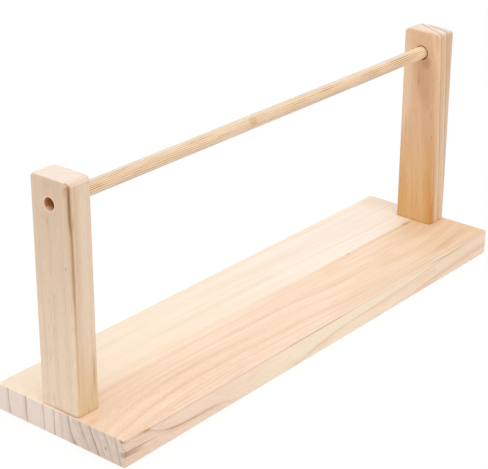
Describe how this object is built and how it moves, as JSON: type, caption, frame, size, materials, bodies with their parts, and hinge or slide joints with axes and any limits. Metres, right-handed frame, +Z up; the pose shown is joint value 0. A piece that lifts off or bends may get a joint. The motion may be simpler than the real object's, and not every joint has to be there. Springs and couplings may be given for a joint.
{
  "type": "spool rack",
  "caption": "Wooden table rack: a board with an upright post at each end and a pull-out rod between them that carries ribbon spools.",
  "frame": {"origin": "middle of the board's underside, on the surface that the rack stands on", "axes": "+X along the rod towards the post that the rod comes out of, +Y to the back, +Z up"},
  "size_m": [0.406, 0.11, 0.172],
  "materials": {
    "board_pine": "bare sanded pine",
    "left_post_pine": "bare sanded pine",
    "right_post_pine": "bare sanded pine, more orange",
    "rod_wood": "bare planed dowel",
    "screw_steel": "zinc plated"
  },
  "bodies": {
    "frame": {"base_board": "board_pine", "left_post": "left_post_pine", "right_post": "right_post_pine", "left_front_screw": "screw_steel", "left_back_screw": "screw_steel", "right_front_screw": "screw_steel", "right_back_screw": "screw_steel"},
    "rod": {"spool_rod": "rod_wood"}
  },
  "joints": [
    {"name": "rod_pull_out", "type": "slide", "parent": "frame", "child": "rod", "axis": [1, 0, 0], "range_m": [0, 0.397]}
  ]
}
